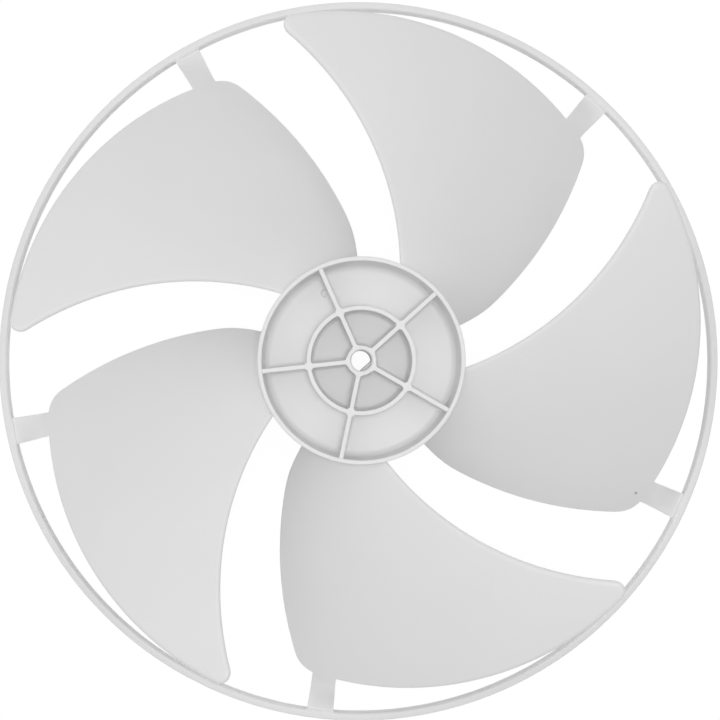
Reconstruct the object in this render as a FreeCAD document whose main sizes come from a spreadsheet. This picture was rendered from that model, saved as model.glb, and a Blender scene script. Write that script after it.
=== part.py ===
import FreeCAD, Part
import math
import os

import Sketcher

Vector = FreeCAD.Vector
AXIS = Vector(0, 0, 1)

# Axial fan impeller, moulded in one piece: a ribbed hub cup, five swept and
# twisted blades, and a hoop that is joined to each blade by one short tab.
# The frame has +Z along the shaft, the open ribbed side up, and its origin
# on the axis in the plane of the hoop's lower edge. Angles are about +Z.

# Driving dimensions, in millimetres and degrees
SIZES = [
    ("blade_count", 5, "blades, tabs and hub ribs"),
    ("ring_radius", 222.4, "outer radius of the hoop"),
    ("ring_wall", 4.8, "width of the hoop, seen along the shaft"),
    ("ring_height", 7.2, "height of the hoop"),
    ("ring_bevel", 0.7, "bevel of the hoop's upper edges"),
    ("hub_radius", 60.8, "outer radius of the hub at its rim"),
    ("hub_wall", 2.6, "thickness of the hub wall at its rim"),
    ("hub_draft", 0.6, "how much wider the hub is at its far edge"),
    ("hub_bottom", 8.0, "height of the hub's far edge"),
    ("rim_height", 59.0, "height of the hub's rim"),
    ("rim_bevel", 0.6, "bevel of the rim"),
    ("web_top", 32.0, "height of the cup's floor"),
    ("web_wall", 3.0, "thickness of the cup's floor"),
    ("floor_bevel", 2.0, "bevel between wall and floor"),
    ("rib_angle", 42.2, "angle of the first hub rib"),
    ("rib_wall", 2.7, "thickness of the hub ribs"),
    ("rib_drop", 0.5, "how far the ribs stay below the rim"),
    ("collar_radius", 30.8, "mean radius of the round rib"),
    ("collar_wall", 2.7, "thickness of the round rib"),
    ("knot_radius", 2.8, "radius of the posts where ribs cross"),
    ("boss_radius", 8.8, "outer radius of the shaft boss"),
    ("boss_bottom", 14.0, "height of the boss's far end"),
    ("bore_radius", 6.0, "radius of the shaft bore"),
    ("bore_leadin", 0.8, "bevel at the mouth of the bore"),
    ("flat_depth", 12.0, "how far below the mouth the bore's flat begins"),
    ("flat_reach", 4.2, "distance of the flat from the axis"),
    ("flat_draft", 0.2, "draft angle of the flatted part of the bore"),
    ("tip_gap", 18.6, "gap between hoop and blade tip at the leading edge"),
    ("tip_mid_drop", 0.2, "how much more that is halfway along the tip"),
    ("tip_tail_drop", 5.0, "how much more that is at the trailing edge"),
    ("nose_root_angle", 68.0, "leading edge at the hub"),
    ("nose_mid_angle", 88.5, "leading edge halfway out"),
    ("nose_tip_angle", 105.3, "leading edge at the tip"),
    ("tail_root_angle", 15.1, "trailing edge at the hub, before its ease"),
    ("tail_mid_angle", 31.6, "trailing edge halfway out"),
    ("tail_tip_angle", 43.9, "trailing edge at the tip"),
    ("tail_ease_angle", 4.2, "how far the trailing edge eases in at the hub"),
    ("tail_ease_reach", 29.5, "how far out that ease runs"),
    ("nose_root_drop", 8.0, "how far below the rim the leading edge meets the hub"),
    ("nose_tip_height", 89.0, "height of the leading edge at the tip"),
    ("tail_root_lift", 3.0, "how far above its far edge the trailing edge meets the hub"),
    ("tail_tip_height", 2.2, "height of the trailing edge at the tip"),
    ("camber", 0.5, "bend of the blade, 0 is straight"),
    ("nose_wall", 3.4, "blade thickness at the leading edge"),
    ("blade_wall", 2.5, "blade thickness halfway along"),
    ("tail_wall", 1.8, "blade thickness at the trailing edge"),
    ("nose_bevel", 0.9, "bevel along both sides of the leading edge"),
    ("nose_corner", 6.0, "rounding of the tip at the leading edge"),
    ("tail_corner", 18.5, "rounding of the tip at the trailing edge"),
    ("tab_angle", 47.5, "middle of the tab between tip and hoop"),
    ("tab_width", 14.6, "width of the tab where it leaves the tip"),
    ("tab_flare", 1.8, "how much wider the tab is at the hoop"),
    ("tab_wall", 2.4, "thickness of the tab at the hoop"),
    ("tab_drop", 2.6, "how far the tab's middle lies below the hoop's top"),
    ("gate_radius", 2.2, "radius of the gate mark on the cup's floor"),
    ("gate_height", 1.5, "height of the gate mark"),
    ("gate_reach", 46.0, "distance of the gate mark from the axis"),
    ("gate_angle", 76.0, "angle of the gate mark from the first rib"),
]

# The blade's surfaces run through a square grid of points, the tab's through a small one
GRID_LINES = 9
GRID_MARGIN = 3.0
TAB_ROWS = 13
TAB_COLUMNS = 5

# Thickness of the tab's root inside the blade, as a part of the blade's
TAB_ROOT = 0.8


def make_sheet(doc):
    """Write the driving dimensions to a spreadsheet, one alias for each."""
    sheet = doc.addObject("Spreadsheet::Sheet", "Sizes")
    for row, (name, value, note) in enumerate(SIZES, start=1):
        sheet.set("A%d" % row, name)
        sheet.set("B%d" % row, str(value))
        sheet.setAlias("B%d" % row, name)
        sheet.set("C%d" % row, note)
    doc.recompute()
    return sheet


def origin_plane(body, role):
    """One of the body's own origin planes or axes."""
    for feature in body.Origin.OriginFeatures:
        if feature.Role == role:
            return feature
    raise ValueError(role)


def new_sketch(body, name, role, offset=None):
    """Sketch on an origin plane, lifted by the formula given as offset."""
    sketch = body.newObject("Sketcher::SketchObject", name)
    sketch.AttachmentSupport = [(origin_plane(body, role), "")]
    sketch.MapMode = "FlatFace"
    if offset:
        sketch.setExpression("AttachmentOffset.Base.z", offset)
    return sketch


def pin_point(sketch, edge, end, across, upward, guess):
    """Fix a point of a sketch by one formula for each direction."""
    for kind, formula, start, other in (("DistanceX", across, guess[0], -2),
                                        ("DistanceY", upward, guess[1], -1)):
        if formula == "0":
            sketch.addConstraint(Sketcher.Constraint("PointOnObject", edge, end, other))
            continue
        rule = Sketcher.Constraint(kind, -1, 1, edge, end, start)
        number = sketch.addConstraint(rule)
        sketch.setExpression("Constraints[%d]" % number, formula)


def draw_outline(sketch, corners):
    """Closed outline of straight lines through corners given as formulas."""
    count = len(corners)
    guesses = []
    for index in range(count):
        turn = 2 * math.pi * index / count
        guesses.append((200 + 90 * math.cos(turn), 100 + 90 * math.sin(turn)))
    for index in range(count):
        start = Vector(*guesses[index], 0)
        stop = Vector(*guesses[(index + 1) % count], 0)
        sketch.addGeometry(Part.LineSegment(start, stop), False)
    for index in range(count):
        following = (index + 1) % count
        sketch.addConstraint(Sketcher.Constraint("Coincident", index, 2, following, 1))
    for index, (across, upward) in enumerate(corners):
        pin_point(sketch, index, 1, across, upward, guesses[index])


def draw_circle(sketch, across, upward, radius):
    """Circle whose centre and radius are given as formulas."""
    guess = (30, 20)
    sketch.addGeometry(Part.Circle(Vector(*guess, 0), AXIS, 3), False)
    pin_point(sketch, 0, 3, across, upward, guess)
    number = sketch.addConstraint(Sketcher.Constraint("Radius", 0, 3))
    sketch.setExpression("Constraints[%d]" % number, radius)


def turn_outline(body, name, corners, kind="PartDesign::Revolution"):
    """Full turn about the shaft axis of an outline given as radius and height."""
    sketch = new_sketch(body, name + "Outline", "XZ_Plane")
    draw_outline(sketch, corners)
    feature = body.newObject(kind, name)
    feature.Profile = sketch
    feature.ReferenceAxis = (origin_plane(body, "Z_Axis"), [""])
    feature.Angle = 360
    return feature


def pad_up(body, name, sketch, height):
    """Pad a sketch upwards by a height given as a formula."""
    pad = body.newObject("PartDesign::Pad", name)
    pad.Profile = sketch
    pad.setExpression("Length", height)
    return pad


def repeat_round(body, name, feature):
    """Repeat a feature round the shaft axis, once for each blade."""
    pattern = body.newObject("PartDesign::PolarPattern", name)
    pattern.Originals = [feature]
    pattern.Axis = (origin_plane(body, "Z_Axis"), [""])
    pattern.Angle = 360
    pattern.setExpression("Occurrences", "Sizes.blade_count")
    body.Tip = pattern
    return pattern


def bevel_edges(body, name, base, size, radii, height):
    """Bevel the circular edges of a feature that have these radii and this height."""
    body.Document.recompute()
    names = []
    for number, edge in enumerate(base.Shape.Edges, start=1):
        if any(is_circle_at(edge, radius, height) for radius in radii):
            names.append("Edge%d" % number)
    bevel = body.newObject("PartDesign::Chamfer", name)
    bevel.Base = (base, names)
    bevel.setExpression("Size", size)
    return bevel


def is_circle_at(edge, radius, height):
    """True for a circular edge of this radius in the plane at this height."""
    curve = edge.Curve
    if not isinstance(curve, Part.Circle):
        return False
    near_radius = abs(curve.Radius - radius) < 0.01
    return near_radius and abs(curve.Center.z - height) < 0.01


def make_ring(doc, sheet):
    """The hoop that the blade tabs carry."""
    body = doc.addObject("PartDesign::Body", "RingBody")
    inner = "Sizes.ring_radius - Sizes.ring_wall"
    hoop = turn_outline(body, "Hoop", [
        (inner, "0"),
        ("Sizes.ring_radius", "0"),
        ("Sizes.ring_radius", "Sizes.ring_height"),
        (inner, "Sizes.ring_height"),
    ])
    top = sheet.ring_height
    radii = (sheet.ring_radius, sheet.ring_radius - sheet.ring_wall)
    bevel_edges(body, "HoopEdges", hoop, "Sizes.ring_bevel", radii, top)
    return body


def make_hub(doc, sheet):
    """Hub cup with its ribs, round rib, posts, shaft boss and flatted bore."""
    body = doc.addObject("PartDesign::Body", "HubBody")
    inner = "Sizes.hub_radius - Sizes.hub_wall"
    web_under = "Sizes.web_top - Sizes.web_wall"
    rib_top = "Sizes.rim_height - Sizes.rib_drop"
    cup = turn_outline(body, "Cup", [
        ("0", web_under),
        (inner, web_under),
        (inner + " + Sizes.hub_draft", "Sizes.hub_bottom"),
        ("Sizes.hub_radius + Sizes.hub_draft", "Sizes.hub_bottom"),
        ("Sizes.hub_radius", "Sizes.rim_height"),
        (inner, "Sizes.rim_height"),
        (inner + " - Sizes.hub_draft", "Sizes.web_top"),
        ("0", "Sizes.web_top"),
    ])
    inside = sheet.hub_radius - sheet.hub_wall
    radii = (sheet.hub_radius, inside)
    rim = bevel_edges(body, "RimEdges", cup, "Sizes.rim_bevel", radii, sheet.rim_height)
    radii = (inside - sheet.hub_draft,)
    bevel_edges(body, "FloorEdge", rim, "Sizes.floor_bevel", radii, sheet.web_top)
    turn_outline(body, "Collar", [
        ("Sizes.collar_radius - Sizes.collar_wall / 2", web_under),
        ("Sizes.collar_radius + Sizes.collar_wall / 2", web_under),
        ("Sizes.collar_radius + Sizes.collar_wall / 2", rib_top),
        ("Sizes.collar_radius - Sizes.collar_wall / 2", rib_top),
    ])
    turn_outline(body, "Boss", [
        ("0", "Sizes.boss_bottom"),
        ("Sizes.boss_radius", "Sizes.boss_bottom"),
        ("Sizes.boss_radius", rib_top),
        ("0", rib_top),
    ])

    rib_sketch = new_sketch(body, "RibOutline", "XY_Plane", web_under)
    draw_outline(rib_sketch, [
        ("0", "-Sizes.rib_wall / 2"),
        ("Sizes.hub_radius - Sizes.hub_wall / 2", "-Sizes.rib_wall / 2"),
        ("Sizes.hub_radius - Sizes.hub_wall / 2", "Sizes.rib_wall / 2"),
        ("0", "Sizes.rib_wall / 2"),
    ])
    rib = pad_up(body, "Rib", rib_sketch, rib_top + " - (" + web_under + ")")
    repeat_round(body, "Ribs", rib)

    knot_sketch = new_sketch(body, "KnotOutline", "XY_Plane", web_under)
    draw_circle(knot_sketch, "Sizes.collar_radius", "0", "Sizes.knot_radius")
    knot = pad_up(body, "Knot", knot_sketch, rib_top + " - (" + web_under + ")")
    repeat_round(body, "Knots", knot)

    gate_sketch = new_sketch(body, "GateOutline", "XY_Plane", web_under)
    draw_circle(gate_sketch, "Sizes.gate_reach * cos(Sizes.gate_angle)",
                "Sizes.gate_reach * sin(Sizes.gate_angle)", "Sizes.gate_radius")
    pad_up(body, "Gate", gate_sketch, "Sizes.web_wall + Sizes.gate_height")

    cut_bore(body, rib_top)
    turn = FreeCAD.Rotation(AXIS, sheet.rib_angle)
    body.Placement = FreeCAD.Placement(Vector(), turn)
    return body


def cut_bore(body, boss_top):
    """Bore of the boss: round from above, with one flat and some draft from below.

    The flat runs along the first rib.
    """
    step = boss_top + " - Sizes.flat_depth"
    turn_outline(body, "RoundBore", [
        ("0", boss_top),
        ("0", step),
        ("Sizes.bore_radius", step),
        ("Sizes.bore_radius", boss_top + " - Sizes.bore_leadin"),
        ("Sizes.bore_radius + Sizes.bore_leadin", boss_top),
    ], "PartDesign::Groove")

    sketch = new_sketch(body, "FlatBoreOutline", "XY_Plane", step)
    start, stop = math.radians(-50), math.radians(230)
    round_part = Part.ArcOfCircle(Part.Circle(Vector(), AXIS, 6), start, stop)
    sketch.addGeometry(round_part, False)
    sketch.addGeometry(Part.LineSegment(round_part.EndPoint, round_part.StartPoint), False)
    sketch.addConstraint(Sketcher.Constraint("Coincident", 0, 3, -1, 1))
    sketch.addConstraint(Sketcher.Constraint("Coincident", 0, 2, 1, 1))
    sketch.addConstraint(Sketcher.Constraint("Coincident", 1, 2, 0, 1))
    sketch.addConstraint(Sketcher.Constraint("Horizontal", 1))
    number = sketch.addConstraint(Sketcher.Constraint("Radius", 0, 6))
    sketch.setExpression("Constraints[%d]" % number, "Sizes.bore_radius")
    drop = Sketcher.Constraint("DistanceY", 0, 1, -1, 1, 4.6)
    number = sketch.addConstraint(drop)
    sketch.setExpression("Constraints[%d]" % number, "Sizes.flat_reach")
    pocket = body.newObject("PartDesign::Pocket", "FlatBore")
    pocket.Profile = sketch
    pocket.setExpression("Length", step + " - Sizes.boss_bottom")
    pocket.setExpression("TaperAngle", "Sizes.flat_draft")
    body.Tip = pocket


def polar(radius, angle, height=0.0):
    """Point at an angle in degrees about the shaft axis."""
    turn = math.radians(angle)
    return Vector(radius * math.cos(turn), radius * math.sin(turn), height)


class EdgeArc:
    """Blade edge seen along the shaft: an arc through three points."""

    def __init__(self, radii, angles):
        points = [polar(radius, angle) for radius, angle in zip(radii, angles)]
        circle = Part.Circle(*points)
        self.radius = circle.Radius
        self.reach = circle.Center.Length
        self.bearing = math.degrees(math.atan2(circle.Center.y, circle.Center.x))

    def angle(self, radius):
        """Angle at which the arc crosses a circle about the shaft."""
        cosine = radius ** 2 + self.reach ** 2 - self.radius ** 2
        cosine = cosine / (2 * radius * self.reach)
        return self.bearing - math.degrees(math.acos(cosine))


class BladeForm:
    """Form of the first blade: its outline along the shaft, its height and thickness.

    The blade is a twisted slab, the blank, cut out along an outline of arcs.
    """

    def __init__(self, sheet):
        self.sheet = sheet
        self.inside = sheet.hub_radius - sheet.hub_wall / 2
        self.hoop = sheet.ring_radius - sheet.ring_wall
        self.nose_tip = self.hoop - sheet.tip_gap
        self.tail_tip = self.nose_tip - sheet.tip_tail_drop
        radii = with_middle(sheet.hub_radius, self.nose_tip)
        self.nose = EdgeArc(radii, (sheet.nose_root_angle, sheet.nose_mid_angle,
                                    sheet.nose_tip_angle))
        self.tail = EdgeArc(radii, (sheet.tail_root_angle, sheet.tail_mid_angle,
                                    sheet.tail_tip_angle))

    def tail_angle(self, radius):
        """Angle of the trailing edge, eased forward next to the hub."""
        sheet = self.sheet
        inward = max(0.0, sheet.hub_radius + sheet.tail_ease_reach - radius)
        ease = sheet.tail_ease_angle * (inward / sheet.tail_ease_reach) ** 2
        return self.tail.angle(radius) + ease

    def level(self, radius, angle):
        """Height of the blade's middle surface, and half its upright thickness."""
        sheet = self.sheet
        radius = min(radius, self.nose_tip)
        outward = (radius - sheet.hub_radius) / (self.nose_tip - sheet.hub_radius)
        tail_root = sheet.hub_bottom + sheet.tail_root_lift
        nose_root = sheet.rim_height - sheet.nose_root_drop
        low = tail_root + outward * (sheet.tail_tip_height - tail_root)
        high = nose_root + outward * (sheet.nose_tip_height - nose_root)
        start = self.tail.angle(radius)
        span = self.nose.angle(radius) - start
        along = (angle - start) / span
        bend = sheet.camber
        rise = (1 + bend) * along - bend * along ** 2
        slope = (high - low) * (1 + bend - 2 * bend * along) / (span * math.radians(radius))
        half = self.thickness(min(max(along, 0), 1)) / 2
        return low + (high - low) * rise, half * math.hypot(1, slope)

    def thickness(self, along):
        """Blade thickness: the tail, middle and nose walls joined by a parabola."""
        sheet = self.sheet
        tail_part = sheet.tail_wall * (1 - along) * (1 - 2 * along)
        middle_part = sheet.blade_wall * 4 * along * (1 - along)
        nose_part = sheet.nose_wall * along * (2 * along - 1)
        return tail_part + middle_part + nose_part

    def blank(self, outline):
        """Twisted slab over a rectangle, seen along the shaft, that holds the outline."""
        sheet = self.sheet
        bearing = (sheet.nose_mid_angle + sheet.tail_mid_angle) / 2
        turned = outline.copy()
        turned.rotate(Vector(), AXIS, -bearing)
        box = turned.BoundBox
        box.enlarge(GRID_MARGIN)
        steps = GRID_LINES - 1
        top = []
        bottom = []
        for outward in range(GRID_LINES):
            x = box.XMin + box.XLength * outward / steps
            top.append([])
            bottom.append([])
            for sideways in range(GRID_LINES):
                y = box.YMin + box.YLength * sideways / steps
                radius = math.hypot(x, y)
                angle = bearing + math.degrees(math.atan2(y, x))
                height, half = self.level(radius, angle)
                top[-1].append(polar(radius, angle, height + half))
                bottom[-1].append(polar(radius, angle, height - half))
        return slab(surface_face(top), surface_face(bottom))

    def outline(self):
        """Upright prism on the blade's outline, its corners still square."""
        sheet = self.sheet
        bend = sheet.hub_radius + sheet.tail_ease_reach
        tip_radii = (self.nose_tip, self.nose_tip - sheet.tip_mid_drop, self.tail_tip)
        tip_angles = with_middle(self.nose.angle(self.nose_tip), self.tail.angle(self.tail_tip))
        root_angles = with_middle(self.tail_angle(self.inside), self.nose.angle(self.inside))
        arcs = [
            edge_points(self.inside, self.nose_tip, self.nose.angle),
            [polar(radius, angle) for radius, angle in zip(tip_radii, tip_angles)],
            edge_points(self.tail_tip, bend, self.tail_angle),
            edge_points(bend, self.inside, self.tail_angle),
            [polar(self.inside, angle) for angle in root_angles],
        ]
        wire = Part.Wire([Part.Arc(*points).toShape() for points in arcs])
        return upright(Part.Face(wire))

    def tab(self):
        """Tab between tip and hoop: it leaves the tip at the blade's slope and ends level.

        Its root lies inside the blade, its other end inside the hoop.
        """
        sheet = self.sheet
        inner = self.tail_tip - sheet.tail_corner
        outer = self.hoop + sheet.ring_wall / 2
        end_height = sheet.ring_height - sheet.tab_drop
        top = []
        bottom = []
        for row in range(TAB_ROWS):
            x = inner + (outer - inner) * row / (TAB_ROWS - 1)
            out = min(max((x - self.nose_tip) / sheet.tip_gap, 0), 1)
            ease = out ** 2 * (3 - 2 * out)
            width = sheet.tab_width + sheet.tab_flare * out
            top.append([])
            bottom.append([])
            for column in range(TAB_COLUMNS):
                y = width * (column / (TAB_COLUMNS - 1) - 0.5)
                radius = math.hypot(x, y)
                angle = sheet.tab_angle + math.degrees(math.atan2(y, x))
                height, half = self.level(radius, angle)
                height += ease * (end_height - height)
                half *= TAB_ROOT
                half += ease * (sheet.tab_wall / 2 - half)
                top[-1].append(polar(radius, angle, height + half))
                bottom[-1].append(polar(radius, angle, height - half))
        return slab(surface_face(top), surface_face(bottom))

    def blade(self):
        """The blade with a bevelled leading edge, rounded tip corners and its tab."""
        sheet = self.sheet
        outline = self.outline()
        blade = self.blank(outline).common(outline)
        long_edges = [edge for face in blade.Faces if self.is_nose(face)
                      for edge in face.Edges if edge.Length > sheet.hub_radius]
        blade = blade.makeChamfer(sheet.nose_bevel, long_edges)
        nose = polar(self.nose_tip, self.nose.angle(self.nose_tip))
        tail = polar(self.tail_tip, self.tail.angle(self.tail_tip))
        outline = round_corner(outline, nose, sheet.nose_corner)
        outline = round_corner(outline, tail, sheet.tail_corner)
        return blade.common(outline).fuse(self.tab())

    def is_nose(self, face):
        """True for the upright wall along the leading edge."""
        surface = face.Surface
        return isinstance(surface, Part.Cylinder) and abs(surface.Radius - self.nose.radius) < 0.01


def with_middle(start, stop):
    """Two numbers with their mean between them."""
    return (start, (start + stop) / 2, stop)


def edge_points(start, stop, angle):
    """Three points of an edge whose angle is a function of the radius."""
    return [polar(radius, angle(radius)) for radius in with_middle(start, stop)]


def upright(face, reach=200):
    """Prism on a flat face, far enough both ways to hold any blade."""
    prism = face.extrude(AXIS * 2 * reach)
    prism.translate(AXIS * -reach)
    return prism


def round_corner(prism, corner, radius):
    """Round the upright edge of a prism that stands on this corner."""
    upright_edges = [edge for edge in prism.Edges if len(edge.Vertexes) == 2
                     and all(math.hypot(vertex.X - corner.x, vertex.Y - corner.y) < 0.01
                             for vertex in edge.Vertexes)]
    return prism.makeFillet(radius, upright_edges)


def surface_face(rows):
    """Smooth face through a grid of points."""
    surface = Part.BSplineSurface()
    surface.interpolate(rows)
    return surface.toShape()


def slab(top, bottom):
    """Solid between two faces, with a wall between each pair of their edges."""
    walls = [Part.makeRuledSurface(upper, lower)
             for upper, lower in zip(top.Edges, bottom.Edges)]
    shell = Part.makeShell([top, bottom] + walls)
    shell.sewShape(0.01)
    solid = Part.makeSolid(Part.Shell(shell.Faces))
    if solid.Volume < 0:
        solid.reverse()
    return solid


def make_blades(doc, sheet):
    """All blades with their tabs, as copies of the first turned round the shaft."""
    shape = BladeForm(sheet).blade()
    count = int(sheet.blade_count)
    blades = []
    for index in range(count):
        blade = doc.addObject("Part::Feature", "Blade%d" % (index + 1))
        blade.Shape = shape
        turn = FreeCAD.Rotation(AXIS, 360 * index / count)
        blade.Placement = FreeCAD.Placement(Vector(), turn)
        blades.append(blade)
    return blades


def check_objects(doc):
    """Stop if any object failed."""
    for item in doc.Objects:
        if "Invalid" in item.State or "Error" in item.State:
            raise RuntimeError("%s failed: %s" % (item.Name, item.State))


def write_part(item):
    """Write one sub-part to parts/ under its label, once its shape is sound."""
    shape = item.Shape
    if shape.isNull() or not shape.isValid() or len(shape.Solids) != 1:
        raise RuntimeError("%s has no sound solid" % item.Label)
    shape.exportStep(os.path.join("parts", item.Label + ".step"))
    print(item.Label, "volume", round(shape.Volume / 1000, 1), "cm3")


def main():
    """Build the impeller and write it."""
    os.makedirs("parts", exist_ok=True)
    doc = FreeCAD.newDocument("Impeller")
    sheet = make_sheet(doc)
    ring = make_ring(doc, sheet)
    hub = make_hub(doc, sheet)
    blades = make_blades(doc, sheet)
    impeller = doc.addObject("Part::MultiFuse", "Impeller")
    impeller.Label = "impeller"
    impeller.Shapes = [hub, ring] + blades
    doc.recompute()
    check_objects(doc)
    write_part(impeller)


main()
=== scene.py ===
import logging
import math
from dataclasses import dataclass, field
from enum import Enum

import bpy
import numpy as np
from mathutils import Matrix, Vector


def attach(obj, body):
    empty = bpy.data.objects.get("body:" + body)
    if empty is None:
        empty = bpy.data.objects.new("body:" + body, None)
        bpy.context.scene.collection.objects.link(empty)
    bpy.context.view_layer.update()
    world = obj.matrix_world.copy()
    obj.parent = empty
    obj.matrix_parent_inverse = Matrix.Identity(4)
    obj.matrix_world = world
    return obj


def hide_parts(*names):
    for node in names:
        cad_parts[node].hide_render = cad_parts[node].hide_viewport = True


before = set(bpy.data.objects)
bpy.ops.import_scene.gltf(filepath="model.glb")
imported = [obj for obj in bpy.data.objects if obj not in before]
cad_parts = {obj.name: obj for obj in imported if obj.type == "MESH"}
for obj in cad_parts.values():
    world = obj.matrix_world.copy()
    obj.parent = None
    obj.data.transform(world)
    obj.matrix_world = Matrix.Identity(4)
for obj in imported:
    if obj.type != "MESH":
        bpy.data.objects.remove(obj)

# An axial fan impeller moulded in one piece, lying on its hoop and seen straight
# from above: ribbed hub cup, swept and twisted blades, and the hoop round them.
# Metres and degrees; +Z is the shaft axis, up out of the hub's ribbed side.

LOG = logging.getLogger("impeller")
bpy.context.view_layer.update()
MM = 0.001
Array = np.ndarray

# A profile corner whose half angle is wider than this counts as straight.
STRAIGHT = math.radians(89.0)

# Places of the colour sockets on a Mix node.
MIX_SHARE, MIX_FIRST, MIX_SECOND, MIX_RESULT = 0, 6, 7, 2


class Ends(Enum):
    """How the ends of a run of loops are closed."""

    JOINED = "the last loop meets the first"
    CAPPED = "a flat face on each end loop"


@dataclass
class Shell:
    """A closed surface: its points and its faces."""

    points: Array
    faces: list[list[int]]

    def turned(self, angle: float) -> "Shell":
        """The shell turned about the shaft axis.

        Args:
            angle: turn in degrees.

        Returns:
            A new shell with the same faces.
        """
        cosine, sine = math.cos(math.radians(angle)), math.sin(math.radians(angle))
        turn = np.array([[cosine, -sine, 0.0], [sine, cosine, 0.0], [0.0, 0.0, 1.0]])
        return Shell(self.points @ turn.T, self.faces)


def loops_shell(loops: Array, ends: Ends) -> Shell:
    """A shell through a run of closed loops.

    Each face joins two neighbours of one loop to the same two of the next.

    Args:
        loops: points, indexed by loop, by place in the loop, and by axis.
        ends: how the first and last loop are closed.

    Returns:
        The closed shell.
    """
    count, around = loops.shape[:2]
    index = np.arange(count * around).reshape(count, around)
    following = np.roll(index, -1, axis=0)
    if ends is Ends.CAPPED:
        index, following = index[:-1], following[:-1]
    quads = np.stack([index, np.roll(index, -1, axis=1),
                      np.roll(following, -1, axis=1), following], axis=-1)
    faces = quads.reshape(-1, 4).tolist()
    if ends is Ends.CAPPED:
        faces.append(list(range(around))[::-1])
        faces.append(list(range((count - 1) * around, count * around)))
    return Shell(loops.reshape(-1, 3), faces)


def polar(radius: Array, angle: Array) -> Array:
    """Plan points at radii and angles in degrees about the shaft axis."""
    turn = np.radians(angle)
    return np.stack([radius * np.cos(turn), radius * np.sin(turn)], axis=-1)


def revolved(profile: Array, segments: int) -> Shell:
    """A closed profile of (radius, height) points carried round the shaft axis.

    The point at turn a is (radius cos a, radius sin a, height). The profile is taken
    backwards, so that the faces point outwards.

    Args:
        profile: points of the closed profile, anticlockwise with the radius to the right.
        segments: how many times the profile is repeated.

    Returns:
        The closed ring-shaped shell.
    """
    turn = np.linspace(0.0, 2.0 * math.pi, segments, endpoint=False)[:, None]
    radius, height = profile[::-1].T
    loops = np.stack([radius * np.cos(turn), radius * np.sin(turn),
                      np.broadcast_to(height, (segments, len(profile)))], axis=-1)
    return loops_shell(loops, Ends.JOINED)


def rounded_profile(corners: list[tuple[float, float, float]], steps: int = 6) -> Array:
    """A closed outline whose corners are rounded.

    A corner of turning angle t and radius r starts r tan(t / 2) before it, and its
    points lie on the arc that touches both sides there.

    Args:
        corners: each corner's two coordinates and its radius.
        steps: points on each arc.

    Returns:
        The outline's points, indexed by place and by axis.
    """
    spots = np.array([corner[:2] for corner in corners])
    runs = []
    for index, (_, _, radius) in enumerate(corners):
        here = spots[index]
        back = spots[index - 1] - here
        ahead = spots[(index + 1) % len(spots)] - here
        back, ahead = back / np.linalg.norm(back), ahead / np.linalg.norm(ahead)
        half = math.acos(float(np.clip(back @ ahead, -1.0, 1.0))) / 2.0
        if radius == 0.0 or half > STRAIGHT:
            runs.append(here[None])
            continue
        middle = here + (back + ahead) / np.linalg.norm(back + ahead) * radius / math.sin(half)
        first = here + back * radius / math.tan(half) - middle
        last = here + ahead * radius / math.tan(half) - middle
        share = np.linspace(0.0, 1.0, steps)[:, None]
        sweep = math.pi - 2.0 * half
        arc = (np.sin((1.0 - share) * sweep) * first + np.sin(share * sweep) * last)
        runs.append(middle + arc / math.sin(sweep))
    return np.concatenate(runs)


def fillet_rise(distance: Array, radius: float) -> Array:
    """How far a fillet stands off one wall at a distance from the other.

    It is radius - sqrt(radius^2 - (radius - distance)^2), and 0 beyond the radius.

    Args:
        distance: distances from the other wall.
        radius: the fillet's radius.

    Returns:
        How far the fillet stands off, in the same shape.
    """
    inward = np.clip(radius - distance, 0.0, radius)
    return radius - np.sqrt(radius ** 2 - inward ** 2)


def spaced(count: int, low_end: float, high_end: float) -> Array:
    """Parameters from 0 to 1 that crowd towards the ends.

    At place t of an even run the step is proportional to
    1 / (1 + 40 low e^(-12 t) + 40 high e^(-12 (1 - t))).

    Args:
        count: how many parameters.
        low_end: crowding at 0, where 0 is even and 1 is strong.
        high_end: crowding at 1, on the same scale.

    Returns:
        The rising parameters.
    """
    most, fade = 40.0, 12.0
    even = np.linspace(0.0, 1.0, count)
    step = 1.0 / (1.0 + most * low_end * np.exp(-fade * even)
                  + most * high_end * np.exp(-fade * (1.0 - even)))
    total = np.concatenate([[0.0], np.cumsum((step[1:] + step[:-1]) / 2.0)])
    return total / total[-1]


def resampled(run: Array, share: Array) -> Array:
    """Points of a run at shares of its length, straight between its own points.

    Args:
        run: the run's plan points, in order.
        share: rising shares of its length.

    Returns:
        One plan point for each share.
    """
    steps = np.linalg.norm(np.diff(run, axis=0), axis=1)
    length = np.concatenate([[0.0], np.cumsum(steps)])
    want = share * length[-1]
    return np.stack([np.interp(want, length, run[:, axis]) for axis in range(2)], axis=-1)


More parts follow.
